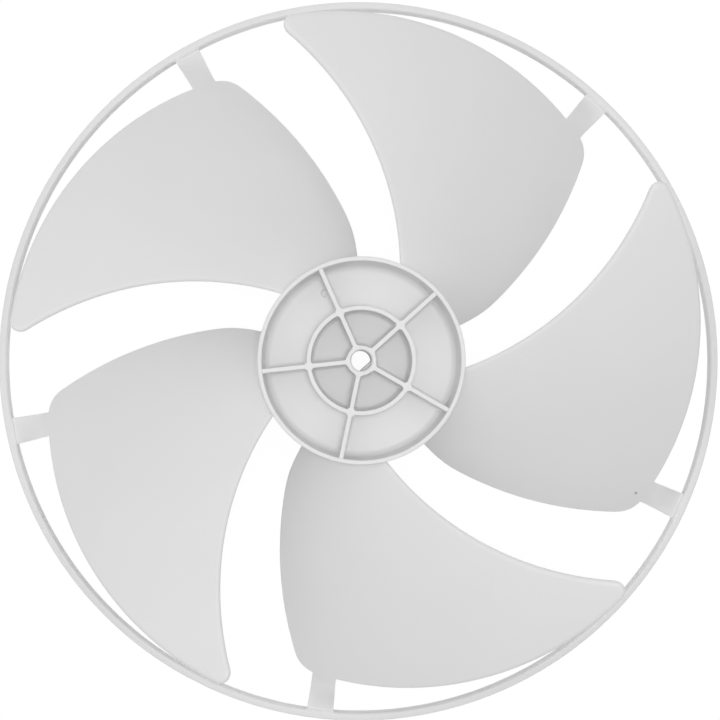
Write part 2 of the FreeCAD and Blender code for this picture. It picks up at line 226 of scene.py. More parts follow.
def rounded_corner(before: Array, after: Array, radius: float,
                   count: int = 41) -> tuple[Array, Array, Array]:
    """Rounds the corner where one run of plan points ends and the next begins.

    The round is the conic that leaves the first run along its direction and joins the
    second along its own: ((1-t)^2 A + 2 w t (1-t) C + t^2 B) / ((1-t)^2 + 2 w t (1-t) + t^2),
    where C is where the two directions cross and w the cosine of half the turn.

    Args:
        before: dense points up to the corner.
        after: dense points from the corner on.
        radius: the corner's radius.
        count: points on the round.

    Returns:
        The shortened first run, the points of the round, and the shortened second run.
    """
    into = before[-1] - before[-2]
    out = after[1] - after[0]
    turn = math.acos(float(into @ out / np.linalg.norm(into) / np.linalg.norm(out)))
    reach = radius * math.tan(turn / 2.0)
    before = before[np.linalg.norm(before - before[-1], axis=1) >= reach]
    after = after[np.linalg.norm(after - after[0], axis=1) >= reach]
    start, stop = before[-1], after[0]
    into, out = start - before[-2], after[1] - stop
    along = np.linalg.solve(np.stack([into, -out], axis=1), stop - start)[0]
    control = start + into * along
    weight = math.cos(turn / 2.0)
    t = np.linspace(0.0, 1.0, count)[:, None]
    terms = (1.0 - t) ** 2, 2.0 * weight * t * (1.0 - t), t ** 2
    bend = (terms[0] * start + terms[1] * control + terms[2] * stop) / sum(terms)
    return before, bend, after


@dataclass(frozen=True)
class EdgeArc:
    """A blade edge in plan: the arc through three points, given by radius and degrees."""

    radii: tuple[float, float, float]
    angles: tuple[float, float, float]

    def angle(self, radius: Array) -> Array:
        """Angle in degrees at which the arc crosses circles about the shaft.

        With the arc's centre at distance m and bearing b, and its own radius c, it is
        b - arccos((radius^2 + m^2 - c^2) / (2 radius m)).

        Args:
            radius: radii of the circles.

        Returns:
            The angles, in the same shape.
        """
        spots = polar(np.array(self.radii), np.array(self.angles))
        rows = 2.0 * (spots[1:] - spots[0])
        squares = (spots ** 2).sum(axis=1)
        centre = np.linalg.solve(rows, squares[1:] - squares[0])
        own = np.linalg.norm(spots[0] - centre)
        away = np.linalg.norm(centre)
        cosine = (radius ** 2 + away ** 2 - own ** 2) / (2.0 * radius * away)
        bearing = math.degrees(math.atan2(centre[1], centre[0]))
        return bearing - np.degrees(np.arccos(cosine))


@dataclass
class Blade:
    """One swept, twisted blade with its tab.

    Heights run from tail to nose, edge angles from hub to tip, and walls from tail over
    the middle to nose. The grid is the number of points across and outwards.
    """

    hub_radius: float = 60.8 * MM
    root_radius: float = 59.5 * MM
    tip_radius: float = 199.0 * MM
    tip_mid_drop: float = 0.2 * MM
    tip_tail_drop: float = 5.0 * MM
    nose_angles: tuple[float, float, float] = (68.0, 88.5, 105.3)
    tail_angles: tuple[float, float, float] = (15.1, 31.6, 43.9)
    ease_angle: float = 4.2
    ease_reach: float = 29.5 * MM
    root_heights: tuple[float, float] = (11.0 * MM, 51.0 * MM)
    tip_heights: tuple[float, float] = (2.2 * MM, 89.0 * MM)
    camber: float = 0.5
    walls: tuple[float, float, float] = (1.8 * MM, 2.5 * MM, 3.4 * MM)
    nose_corner: float = 6.0 * MM
    tail_corner: float = 18.5 * MM
    nose_round: float = 3.4 * MM
    tail_round: float = 0.6 * MM
    root_fillet: float = 2.0 * MM
    root_crowding: float = 0.35
    tab_angle: float = 47.5
    tab_width: float = 14.6 * MM
    tab_flare: float = 1.8 * MM
    tab_wall: float = 2.4 * MM
    tab_height: float = 4.6 * MM
    tab_fillet: float = 1.0 * MM
    tab_stop: float = 220.0 * MM
    tab_powers: tuple[float, float] = (0.35, 0.12)
    tab_sides: int = 40
    sink: float = 0.12 * MM
    sink_start: float = 7.0 * MM
    sink_run: float = 10.0 * MM
    hoop_inside: float = 217.6 * MM
    grid: tuple[int, int] = (66, 54)
    edge_points: int = 900
    root_points: int = 200
    nose: EdgeArc = field(init=False)
    tail: EdgeArc = field(init=False)

    def __post_init__(self) -> None:
        """Makes the two edge arcs."""
        radii = (self.hub_radius, (self.hub_radius + self.tip_radius) / 2.0, self.tip_radius)
        self.nose = EdgeArc(radii, self.nose_angles)
        self.tail = EdgeArc(radii, self.tail_angles)

    def tail_angle(self, radius: Array) -> Array:
        """Angle of the trailing edge, eased forward by a parabola next to the hub."""
        inward = np.clip(self.hub_radius + self.ease_reach - radius, 0.0, None)
        return self.tail.angle(radius) + self.ease_angle * (inward / self.ease_reach) ** 2

    def level(self, plan: Array) -> tuple[Array, Array, Array]:
        """Height of the middle surface, half the upright thickness, and place along the chord.

        Along a circle the height rises from tail to nose by (1 + c) a - c a^2, where a is
        the share of the way and c the camber; both ends change evenly from root to tip.
        The wall is the quadratic through its three values, and stood upright it measures
        wall sqrt(1 + slope^2).

        Args:
            plan: plan points, axis last.

        Returns:
            Heights, half thicknesses and shares of the way from tail to nose.
        """
        radius = np.minimum(np.linalg.norm(plan, axis=-1), self.tip_radius)
        angle = np.degrees(np.arctan2(plan[..., 1], plan[..., 0]))
        outward = (radius - self.hub_radius) / (self.tip_radius - self.hub_radius)
        low = self.root_heights[0] + outward * (self.tip_heights[0] - self.root_heights[0])
        high = self.root_heights[1] + outward * (self.tip_heights[1] - self.root_heights[1])
        start = self.tail.angle(radius)
        span = self.nose.angle(radius) - start
        along = (angle - start) / span
        rise = (1.0 + self.camber) * along - self.camber * along ** 2
        slope = (high - low) * (1.0 + self.camber - 2.0 * self.camber * along)
        slope = slope / (np.radians(span) * radius)
        within = np.clip(along, 0.0, 1.0)
        tail_wall, middle_wall, nose_wall = self.walls
        wall = (tail_wall * (1.0 - within) * (1.0 - 2.0 * within)
                + middle_wall * 4.0 * within * (1.0 - within)
                + nose_wall * within * (2.0 * within - 1.0))
        return low + (high - low) * rise, wall / 2.0 * np.hypot(1.0, slope), within

    def edges(self) -> tuple[Array, Array, Array, Array]:
        """The blade's outline in plan, as four runs of points.

        Nose and tail are the two arcs. The tip lies at the tip radius less the quadratic
        in the share of the way that is the tail's drop at the tail, the middle's half-way
        and 0 at the nose. Both outer corners are rounded, and each round is split half-way
        between the runs that it joins.

        Returns:
            Tail and nose from root to tip, then root and tip from tail to nose.
        """
        radius = np.linspace(self.root_radius, self.tip_radius, self.edge_points)
        nose = polar(radius, self.nose.angle(radius))
        tail_tip = self.tip_radius - self.tip_tail_drop
        radius = np.linspace(self.root_radius, tail_tip, self.edge_points)
        tail = polar(radius, self.tail_angle(radius))
        share = np.linspace(0.0, 1.0, self.edge_points)
        first = self.tail_angle(np.array(tail_tip))
        last = self.nose.angle(np.array(self.tip_radius))
        drop = (self.tip_tail_drop * (1.0 - share) * (1.0 - 2.0 * share)
                + self.tip_mid_drop * 4.0 * share * (1.0 - share))
        tip = polar(self.tip_radius - drop, first + share * (last - first))
        tail, tail_bend, tip = rounded_corner(tail, tip, self.tail_corner)
        tip, nose_bend, nose = rounded_corner(tip, nose[::-1], self.nose_corner)
        half = len(tail_bend) // 2
        tip = np.concatenate([tail_bend[half:], tip[1:-1], nose_bend[:half + 1]])
        tail = np.concatenate([tail, tail_bend[1:half + 1]])
        nose = np.concatenate([nose_bend[half:-1], nose])[::-1]
        angle = np.linspace(self.tail_angle(np.array(self.root_radius)),
                            self.nose.angle(np.array(self.root_radius)), self.root_points)
        return tail, nose, polar(np.full(self.root_points, self.root_radius), angle), tip

    def plan(self) -> tuple[Array, Array]:
        """Plan points on a grid, and each one's distance from the free edges.

        The grid is the Coons patch on the four edges: the sum of the two ruled surfaces
        between opposite edges, less the bilinear one on the corners. The distance is the
        least one to any short side of the outline.

        Returns:
            Points indexed by root-to-tip place, tail-to-nose place and axis, and distances.
        """
        tail, nose, root, tip = self.edges()
        across, outward = self.grid
        u = spaced(across, 1.0, 1.0)
        v = spaced(outward, self.root_crowding, 1.0)
        tail_side, nose_side = resampled(tail, v)[:, None], resampled(nose, v)[:, None]
        root_side, tip_side = resampled(root, u)[None], resampled(tip, u)[None]
        u, v = u[None, :, None], v[:, None, None]
        ruled = (1.0 - u) * tail_side + u * nose_side + (1.0 - v) * root_side + v * tip_side
        corners = ((1.0 - u) * (1.0 - v) * tail[0] + u * (1.0 - v) * nose[0]
                   + (1.0 - u) * v * tail[-1] + u * v * nose[-1])
        points = ruled - corners
        rim = np.concatenate([tail, tip, nose[::-1]])
        first, step = rim[:-1], np.diff(rim, axis=0)
        flat = points.reshape(-1, 1, 2)
        square, least = (step ** 2).sum(axis=-1), 1e-18
        share = ((flat - first) * step).sum(axis=-1) / np.maximum(square, least)
        nearest = first + np.clip(share, 0.0, 1.0)[..., None] * step
        distance = np.linalg.norm(flat - nearest, axis=-1).min(axis=1)
        distance = distance.reshape(points.shape[:2])
        distance[:, [0, -1]] = 0.0
        distance[-1] = 0.0
        return points, distance

    def skin(self) -> Shell:
        """The blade's skin: its middle surface lifted and lowered by half its wall.

        Within the rounding width w of a free edge the half wall is multiplied by
        sqrt(1 - (1 - distance / w)^2), and next to the hub a fillet is added to it.

        Returns:
            The closed shell, whose root end lies inside the hub wall.
        """
        plan, distance = self.plan()
        height, half, along = self.level(plan)
        width = self.tail_round + along * (self.nose_round - self.tail_round)
        half = half * np.sqrt(1.0 - np.clip(1.0 - distance / width, 0.0, 1.0) ** 2)
        away = np.linalg.norm(plan, axis=-1) - self.hub_radius
        half = half + fillet_rise(np.clip(away, 0.0, None), self.root_fillet)
        upper = np.concatenate([plan, (height + half)[..., None]], axis=-1)
        lower = np.concatenate([plan, (height - half)[..., None]], axis=-1)
        rows, columns = plan.shape[:2]
        top = np.arange(rows * columns).reshape(rows, columns)
        under = top + rows * columns
        under[1:, [0, -1]] = top[1:, [0, -1]]
        under[-1] = top[-1]
        faces = self.quads(top) + self.quads(under[:, ::-1])
        faces.append(top[0].tolist() + under[0, ::-1].tolist())
        points = np.concatenate([upper.reshape(-1, 3), lower.reshape(-1, 3)])
        faces.extend(self.root_corners(top, under))
        return Shell(points, faces)

    @staticmethod
    def quads(index: Array) -> list[list[int]]:
        """Faces of a grid of point numbers, each joining two neighbours of two rows."""
        square = np.stack([index[:-1, :-1], index[:-1, 1:], index[1:, 1:], index[1:, :-1]],
                          axis=-1)
        return square.reshape(-1, 4)[:, ::-1].tolist()

    @staticmethod
    def root_corners(top: Array, under: Array) -> list[list[int]]:
        """The slivers between the root end and the first shared points of both edges.

        Args:
            top: point numbers of the upper grid.
            under: point numbers of the lower grid.

        Returns:
            One triangle at the tail and one at the nose.
        """
        tail = [int(top[0, 0]), int(top[1, 0]), int(under[0, 0])]
        nose = [int(top[0, -1]), int(under[0, -1]), int(top[1, -1])]
        return [tail[::-1], nose[::-1]]

    def tab(self) -> Shell:
        """The tab from the blade's outer tail corner to the hoop.

        Its cross-sections are flat ovals with nearly square corners: a point at turn a
        lies |cos a|^0.35 of the half width to one side and |sin a|^0.12 of the half
        thickness up or down, each with its cosine's or sine's sign. From tip to hoop the
        height goes from the blade's level to the tab's own by s^2 (3 - 2 s), where s is
        the share of the way, and small fillets widen the tab at the hoop. Inside the
        blade it is drawn in by the sink, so that the two skins cross cleanly.

        Returns:
            The closed shell, whose ends lie inside the blade and inside the hoop.
        """
        inner = self.tip_radius - self.tip_tail_drop - self.tail_corner
        share = np.concatenate([np.linspace(0.0, 0.9, 28), np.linspace(0.91, 1.0, 16)])
        reach = inner + (self.tab_stop - inner) * share
        out = np.clip((reach - self.tip_radius) / (self.hoop_inside - self.tip_radius), 0.0, 1.0)
        ease = (out ** 2 * (3.0 - 2.0 * out))[:, None]
        before_hoop = np.clip(self.hoop_inside - reach, 0.0, None)
        fillet = fillet_rise(before_hoop, self.tab_fillet)[:, None]
        turn = np.linspace(0.0, 2.0 * math.pi, self.tab_sides, endpoint=False)
        side = np.sign(np.cos(turn)) * np.abs(np.cos(turn)) ** self.tab_powers[0]
        lift = np.sign(np.sin(turn)) * np.abs(np.sin(turn)) ** self.tab_powers[1]
        half_width = (self.tab_width + self.tab_flare * out[:, None]) / 2.0 + fillet
        across = half_width * side
        plan = np.stack([np.broadcast_to(reach[:, None], across.shape), across], axis=-1)
        shell = Shell(np.concatenate([plan, np.zeros_like(plan[..., :1])], axis=-1), [])
        plan = shell.turned(self.tab_angle).points[..., :2]
        height, half, _ = self.level(plan)
        height = height + ease * (self.tab_height - height)
        inside = self.tip_radius - self.sink_start - reach
        half = half - self.sink * np.clip(inside / self.sink_run, 0.0, 1.0)[:, None]
        half = half + ease * (self.tab_wall / 2.0 - half) + fillet
        loops = np.concatenate([plan, (height + lift * half)[..., None]], axis=-1)
        return loops_shell(loops, Ends.CAPPED)


@dataclass
class Hoop:
    """The thin hoop that ties the blades together."""

    radius: float = 222.4 * MM
    wall: float = 4.8 * MM
    height: float = 7.2 * MM
    top_round: float = 0.7 * MM
    inner_round: float = 1.8 * MM
    foot_round: float = 0.3 * MM
    crown: float = 0.04 * MM
    segments: int = 288

    def skin(self) -> Shell:
        """The hoop: a rounded rectangle carried round the axis.

        It is faintly crowned above and hollow below, because wide flat faces in one
        plane with each other don't fuse cleanly.

        Returns:
            The closed shell.
        """
        inner = self.radius - self.wall
        middle = self.radius - self.wall / 2.0
        profile = rounded_profile([
            (inner, 0.0, self.foot_round),
            (middle, self.crown, 0.0),
            (self.radius, 0.0, self.foot_round),
            (self.radius, self.height - self.crown, self.top_round),
            (middle, self.height, 0.0),
            (inner, self.height - self.crown, self.inner_round),
        ])
        return revolved(profile, self.segments)


@dataclass
class Hub:
    """The hub cup with its ribs, round rib, posts, gate mark and bored boss.

    The gate mark is given by its reach, its degrees from a rib and its radius. The dish
    is how far the floor sags between the boss and the wall, at most, and dish_lows its
    shares from the wall inwards: a floor that isn't flat fuses cleanly with the ribs.
    """

    radius: float = 60.8 * MM
    wall: float = 2.6 * MM
    draft: float = 0.6 * MM
    bottom: float = 8.0 * MM
    rim: float = 59.0 * MM
    web_top: float = 32.0 * MM
    web_wall: float = 3.0 * MM
    floor_fillet: float = 4.0 * MM
    foot_fillet: float = 2.2 * MM
    under_fillet: float = 1.2 * MM
    skirt_round: float = 0.3 * MM
    rim_round: float = 0.6 * MM
    sunk: float = 0.15 * MM
    dish: float = 0.06 * MM
    dish_lows: tuple[float, ...] = (0.3, 0.6, 0.9, 1.0, 0.9, 0.6, 0.3)
    dish_margins: tuple[float, float] = (9.0 * MM, 6.0 * MM)
    rib_top: float = 58.5 * MM
    rib_wall: float = 2.7 * MM
    rib_angle: float = 42.2
    rib_flare: float = 1.2 * MM
    bedding: float = 1.5 * MM
    collar: float = 30.8 * MM
    post: float = 2.8 * MM
    post_fillet: float = 0.8 * MM
    post_lift: float = 0.02 * MM
    boss: float = 8.8 * MM
    boss_bottom: float = 14.0 * MM
    bore: float = 6.0 * MM
    bore_draft: float = 0.05 * MM
    bore_round: float = 0.2 * MM
    bore_reach: float = 0.3 * MM
    lead_in: float = 0.8 * MM
    lead_round: float = 0.15 * MM
    flat_top: float = 46.5 * MM
    flat_step: float = 0.02 * MM
    flat_reach: float = 4.2 * MM
    gate: tuple[float, float, float] = (46.0 * MM, 76.0, 2.2 * MM)
    gate_height: float = 1.5 * MM
    edge: float = 0.5 * MM
    cup_segments: int = 240
    ring_segments: int = 144
    post_sides: int = 36
    ribs: int = 5

    def cup(self) -> Shell:
        """Cup, floor and boss: one closed profile carried round the axis.

        The bore's points are drawn in to the flat: their radius is the lesser of the
        bore's and flat / cos(angle from the flat's middle).

        Returns:
            The closed shell.
        """
        inner = self.radius - self.wall
        under = self.web_top - self.web_wall
        floor = np.linspace(inner - self.dish_margins[0], self.boss + self.dish_margins[1],
                            len(self.dish_lows))
        profile = rounded_profile([
            (self.bore + self.bore_draft, self.boss_bottom, self.bore_round),
            (self.boss, self.boss_bottom, self.edge),
            (self.boss, under, self.under_fillet),
            (inner, under, self.under_fillet),
            (inner + self.draft, self.bottom, self.skirt_round),
            (self.radius + self.draft, self.bottom, self.skirt_round),
            (self.radius, self.rim, self.rim_round),
            (inner, self.rim, self.rim_round),
            (inner - self.draft, self.web_top, self.floor_fillet),
            *[(radius, self.web_top - self.dish * low, 0.0)
              for radius, low in zip(floor, self.dish_lows)],
            (self.boss, self.web_top, self.foot_fillet),
            (self.boss, self.rib_top, self.edge),
            (self.bore + self.lead_in, self.rib_top, self.lead_round),
            (self.bore, self.rib_top - self.lead_in, self.lead_round),
            (self.bore, self.flat_top, 0.0),
            (self.bore, self.flat_top - self.flat_step, 0.0),
        ])
        shell = revolved(profile, self.cup_segments)
        points = shell.points
        radius = np.hypot(points[:, 0], points[:, 1])
        flat = math.radians(self.rib_angle - 90.0)
        away = np.arctan2(points[:, 1], points[:, 0]) - flat
        away = (away + math.pi) % (2.0 * math.pi) - math.pi
        least = 0.05
        limit = self.flat_reach / np.maximum(np.cos(away), least)
        below = points[:, 2] < self.flat_top - self.flat_step / 2.0
        narrow = (radius < self.bore + self.bore_reach) & below
        scale = np.where(narrow, np.minimum(1.0, limit / radius), 1.0)
        points[:, :2] *= scale[:, None]
        return shell

    def upright_foot(self, height: Array, top_round: float, foot_round: float) -> Array:
        """How much a wall is widened at its foot and drawn in at its rounded top.

        It is a fillet over the height above the foot, less one over the depth below the
        top. The foot starts a little below the floor, so that it cuts the floor at a
        clear angle.

        Args:
            height: heights along the wall.
            top_round: radius of the rounded top edge.
            foot_round: radius of the fillet at the foot.

        Returns:
            Offsets of one side of the wall at those heights.
        """
        foot = fillet_rise(np.clip(height - self.web_top + self.sunk, 0.0, None), foot_round)
        inward = fillet_rise(np.clip(self.rib_top - height, 0.0, None), top_round)
        return foot - inward

    def heights(self) -> Array:
        """Heights of a rib's side points, crowded at foot and top.

        They are shares of the foot's fillet over the floor and shares of the rounded
        edge under the top, with the rib's bed in the floor before them.

        Returns:
            The rising heights.
        """
        foot = np.array([-0.06, 0.0, 0.06, 0.14, 0.28, 0.5, 0.75, 1.0]) * self.foot_fillet
        top = np.array([1.0, 0.6, 0.3, 0.1, 0.0]) * self.edge
        bed = self.web_top - self.bedding
        return np.concatenate([[bed], self.web_top + foot, self.rib_top - top])

    def round_rib(self) -> Shell:
        """The round rib: an upright wall with a fillet at its foot and a rounded top.

        Returns:
            The closed shell, whose foot lies inside the floor.
        """
        height = self.heights()
        side = self.rib_wall / 2.0 + self.upright_foot(height, self.edge, self.foot_fillet)
        outer = np.stack([self.collar + side, height], axis=-1)
        inner = np.stack([self.collar - side, height], axis=-1)[::-1]
        return revolved(np.concatenate([outer, inner]), self.ring_segments)

    def rib(self) -> Shell:
        """One straight rib, whose cross-section is carried outwards from the boss.

        A point of it is (reach, half width, height), where the half width is half the
        wall, widened at the foot and, by a fillet over the reach, at the boss.

        Returns:
            The closed shell, whose ends lie inside the boss and inside the cup's wall.
        """
        even_from, into_wall, even_points = 12.0 * MM, 0.8 * MM, 18
        start, stop = self.boss, self.radius - self.wall
        near = start + np.array([-1.2, 0.0, 0.1, 0.3, 0.7, 1.2]) * MM
        far = np.linspace(even_from, stop + into_wall, even_points)
        reach = np.concatenate([near, far])
        height = self.heights()
        side = self.rib_wall / 2.0 + self.upright_foot(height, self.edge, self.foot_fillet)
        flare = fillet_rise(np.clip(reach - start, 0.0, None), self.rib_flare)
        half = side[None, :] + flare[:, None]
        across = np.concatenate([half, -half[:, ::-1]], axis=1)
        rise = np.concatenate([height, height[::-1]])
        loops = np.stack([np.broadcast_to(reach[:, None], across.shape), across,
                          np.broadcast_to(rise, across.shape)], axis=-1)
        return loops_shell(loops, Ends.CAPPED)

    def post_shell(self, radius: float, top: float, reach: float, angle: float,
                   top_round: float) -> Shell:
        """A round post on the floor with a fillet at its foot and a rounded top.

        A point of it is the post's middle plus its width at that height times (cos a,
        sin a), and the width follows the same two fillets as a wall's.

        Args:
            radius: the post's radius.
            top: height of its top.
            reach: distance from the axis.
            angle: degrees from the rib's direction.
            top_round: radius of the rounded top edge.

        Returns:
            The closed shell.
        """
        foot = np.array([-0.15, 0.0, 0.15, 0.4, 0.65]) * MM
        crown = np.array([1.0, 0.8, 0.6, 0.4, 0.2, 0.07, 0.0]) * top_round
        bed = self.web_top - self.bedding
        height = np.unique(np.concatenate([[bed], self.web_top + foot, top - crown]))
        over_foot = np.clip(height - self.web_top + self.sunk, 0.0, None)
        ring = radius + fillet_rise(over_foot, self.post_fillet)
        ring = ring - fillet_rise(np.clip(top - height, 0.0, None), top_round)
        turn = np.linspace(0.0, 2.0 * math.pi, self.post_sides, endpoint=False)
        middle = polar(np.array(reach), np.array(angle))
        plan = middle + ring[:, None, None] * np.stack([np.cos(turn), np.sin(turn)], axis=-1)
        rise = np.broadcast_to(height[:, None, None], plan.shape[:2] + (1,))
        return loops_shell(np.concatenate([plan, rise], axis=-1), Ends.CAPPED)

    def shells(self) -> list[Shell]:
        """All closed shells of the hub, each overlapping the cup.

        The posts stand a hair over the ribs, because tops in one plane don't fuse cleanly.

        Returns:
            The cup, the round rib, each rib with its post, and the gate mark.
        """
        found = [self.cup(), self.round_rib().turned(self.rib_angle)]
        for number in range(self.ribs):
            angle = self.rib_angle + 360.0 * number / self.ribs
            found.append(self.rib().turned(angle))
            post = self.post_shell(self.post, self.rib_top + self.post_lift, self.collar, 0.0,
                                   self.edge)
            found.append(post.turned(angle))
        reach, angle, radius = self.gate
        mark = self.post_shell(radius, self.web_top + self.gate_height, reach, angle,
                               self.gate_height)
        found.append(mark.turned(self.rib_angle))
        return found


def mesh_object(name: str, shell: Shell) -> bpy.types.Object:
    """An object at the origin with a shell as its mesh.

    Args:
        name: the name of the object and of its mesh.
        shell: the closed shell.

    Returns:
        The object, in the scene.
    """
    mesh = bpy.data.meshes.new(name)
    mesh.from_pydata(shell.points.tolist(), [], shell.faces)
    mesh.validate()
    item = bpy.data.objects.new(name, mesh)
    bpy.context.scene.collection.objects.link(item)
    return item


def fused(name: str, shells: list[Shell], sharp: float) -> bpy.types.Object:
    """One object on the outer skin of overlapping closed shells.

    Args:
        name: the object's name.
        shells: closed shells; the first one is the base that the others are joined to.
        sharp: edges that turn by more than this many degrees are sharp.

    Returns:
        The object, at the origin, whose large faces lead its smooth shading.
    """
    whole = mesh_object(name, shells[0])
    others = [mesh_object("%s_%d" % (name, number), shell)
              for number, shell in enumerate(shells[1:], start=1)]
    for other in others:
        join = whole.modifiers.new(other.name, "BOOLEAN")
        join.operation = "UNION"
        join.solver = "MANIFOLD"
        join.object = other
    graph = bpy.context.evaluated_depsgraph_get()
    made = bpy.data.meshes.new_from_object(whole.evaluated_get(graph))
    whole.modifiers.clear()
    whole.data = made
    for other in others:
        bpy.data.objects.remove(other)
    made.name = name
    made.shade_smooth()
    made.set_sharp_from_angle(angle=math.radians(sharp))
    weighted = whole.modifiers.new("flat_faces_lead", "WEIGHTED_NORMAL")
    weighted.keep_sharp = True
    return whole


def linear(code: str) -> tuple[float, float, float, float]:
    """Linear colour of an sRGB hex code, with full alpha.

    A channel v is v / 12.92 up to 0.04045, and ((v + 0.055) / 1.055)^2.4 above it.

    Args:
        code: six hex digits.

    Returns:
        Red, green, blue and alpha.
    """
    values = [int(code[place:place + 2], 16) / 255.0 for place in (0, 2, 4)]
    linears = [value / 12.92 if value <= 0.04045 else ((value + 0.055) / 1.055) ** 2.4
               for value in values]
    return (*linears, 1.0)


def add_node(tree: bpy.types.NodeTree, kind: str, settings: dict[str, object],
             links: dict[str, bpy.types.NodeSocket]) -> bpy.types.Node:
    """Adds a node with its settings and links.

    Args:
        tree: the material's or world's node tree.
        kind: the node's type.
        settings: values by input name, or by attribute name where no input has it.
        links: sockets that feed inputs, by input name.

    Returns:
        The node.
    """
    node = tree.nodes.new(kind)
    for name, value in settings.items():
        if name in node.inputs:
            node.inputs[name].default_value = value
        else:
            setattr(node, name, value)
    for name, socket in links.items():
        tree.links.new(socket, node.inputs[name])
    return node


@dataclass(frozen=True)
class NaturalPolypropylene:
    """Natural polypropylene, injection moulded without pigment: milky white and satin.

    To the eye it is a soft white that is nearly one tone, with a broad sheen and no
    sharp reflections. Faint clouds, as wide as the melt's flow lines, keep wide faces
    from looking painted, and the fine grain of the mould breaks up the sheen. The speck
    is a burnt grain in one blade.
    """

    pale: str = "F2F2F2"
    deep: str = "EEEEEE"
    roughness: float = 0.42
    roughness_below: float = 0.04
    roughness_above: float = 0.06
    ior: float = 1.49
    cloud_size_mm: float = 45.0
    # The mould's own grain is near 0.1 mm, too fine to show, so it is drawn coarser.
    grain_size_mm: float = 1.6
    grain_strength: float = 0.06
    grain_depth: float = 0.03 * MM
    speck: tuple[float, float, float] = (0.1701, -0.0815, 0.0126)
    speck_tone: str = "7A7874"
    speck_core: float = 0.6 * MM
    speck_reach: float = 1.4 * MM
    speck_share: float = 0.55

    def material(self) -> bpy.types.Material:
        """The finish as a node material on Object coordinates.

        Returns:
            The material, with colour, roughness and bump from its patterns.
        """
        made = bpy.data.materials.new("natural_polypropylene_satin")
        made.use_nodes = True
        tree = made.node_tree
        shader = tree.nodes["Principled BSDF"]
        place = add_node(tree, "ShaderNodeTexCoord", {}, {}).outputs["Object"]
        clouds = add_node(tree, "ShaderNodeTexNoise",
                          {"Scale": 1000.0 / self.cloud_size_mm, "Detail": 3.0},
                          {"Vector": place})
        tint = add_node(tree, "ShaderNodeMix", {"data_type": "RGBA"}, {})
        tint.inputs[MIX_FIRST].default_value = linear(self.deep)
        tint.inputs[MIX_SECOND].default_value = linear(self.pale)
        tree.links.new(clouds.outputs["Fac"], tint.inputs[MIX_SHARE])
        distance = add_node(tree, "ShaderNodeVectorMath", {"operation": "DISTANCE"}, {})
        tree.links.new(place, distance.inputs[0])
        distance.inputs[1].default_value = self.speck
        near = add_node(tree, "ShaderNodeMapRange",
                        {"From Min": self.speck_core, "From Max": self.speck_reach,
                         "To Min": self.speck_share, "To Max": 0.0},
                        {"Value": distance.outputs["Value"]})
        spot = add_node(tree, "ShaderNodeMix", {"data_type": "RGBA"}, {})
        tree.links.new(near.outputs["Result"], spot.inputs[MIX_SHARE])
        tree.links.new(tint.outputs[MIX_RESULT], spot.inputs[MIX_FIRST])
        spot.inputs[MIX_SECOND].default_value = linear(self.speck_tone)
        tree.links.new(spot.outputs[MIX_RESULT], shader.inputs["Base Color"])
        grain = add_node(tree, "ShaderNodeTexNoise",
                         {"Scale": 1000.0 / self.grain_size_mm, "Detail": 2.0},
                         {"Vector": place})
        gloss = add_node(tree, "ShaderNodeMapRange",
                         {"To Min": self.roughness - self.roughness_below,
                          "To Max": self.roughness + self.roughness_above},
                         {"Value": grain.outputs["Fac"]})
        tree.links.new(gloss.outputs["Result"], shader.inputs["Roughness"])
        bump = add_node(tree, "ShaderNodeBump",
                        {"Strength": self.grain_strength, "Distance": self.grain_depth},
                        {"Height": grain.outputs["Fac"]})
        tree.links.new(bump.outputs["Normal"], shader.inputs["Normal"])
        shader.inputs["IOR"].default_value = self.ior
        return made


@dataclass
class Impeller:
    """The whole moulding: hub, blades with their tabs, and hoop, fused into one skin."""

    hub: Hub = field(default_factory=Hub)
    blade: Blade = field(default_factory=Blade)
    hoop: Hoop = field(default_factory=Hoop)
    blade_count: int = 5
    sharp_turn: float = 34.0

    def build(self) -> bpy.types.Object:
        """Returns:
            The piece, which stands in for the solid of the same moulding.
        """
        shells = self.hub.shells()
        blade, tab = self.blade.skin(), self.blade.tab()
        for number in range(self.blade_count):
            angle = 360.0 * number / self.blade_count
            shells.extend([blade.turned(angle), tab.turned(angle)])
        shells.append(self.hoop.skin())
        piece = fused("impeller_moulding", shells, self.sharp_turn)
        piece.data.materials.clear()
        piece.data.materials.append(NaturalPolypropylene().material())
        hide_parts("impeller")
        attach(piece, "root")
        return piece


